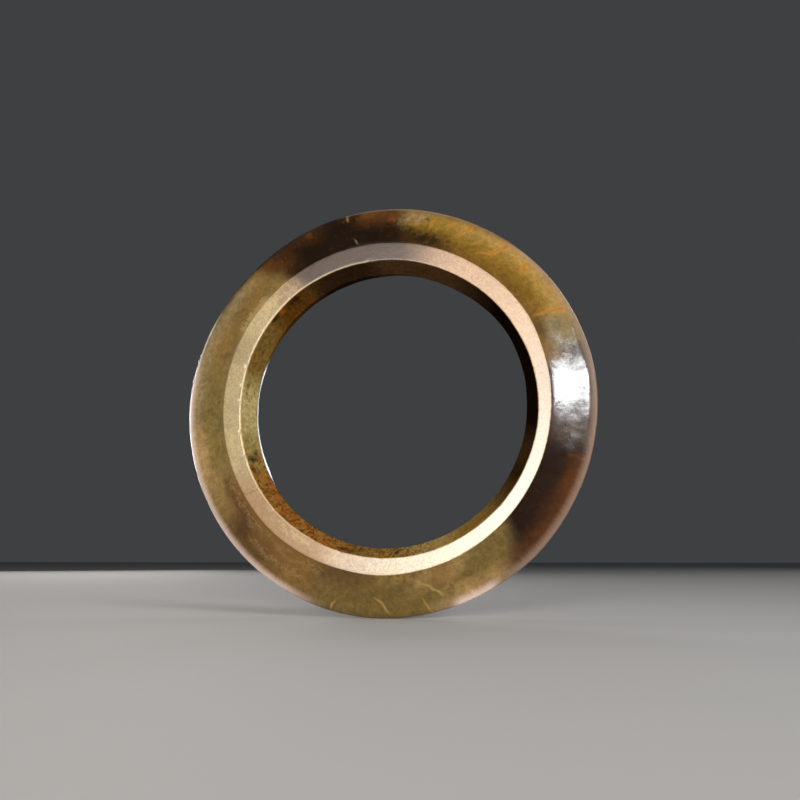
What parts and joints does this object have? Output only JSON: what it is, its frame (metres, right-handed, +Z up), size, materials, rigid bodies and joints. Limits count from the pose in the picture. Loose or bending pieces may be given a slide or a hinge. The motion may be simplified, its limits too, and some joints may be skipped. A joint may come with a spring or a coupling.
{
  "type": "jade ring",
  "caption": "Carved jade annular ring with a narrow flat face round each mouth of its bore and slopes that fall to a thin rim.",
  "frame": {"origin": "centre of the rim's circle, halfway between the two flat faces", "axes": "+Z up as the ring stands on its rim; the bore runs along Y, and the side in the picture faces -Y"},
  "size_m": [0.095, 0.0102, 0.095],
  "materials": {
    "jade": "polished nephrite, olive to celadon with brown and grey zones, faintly translucent at the rim"
  },
  "bodies": {
    "root": {"jade_ring": "jade"}
  },
  "joints": []
}
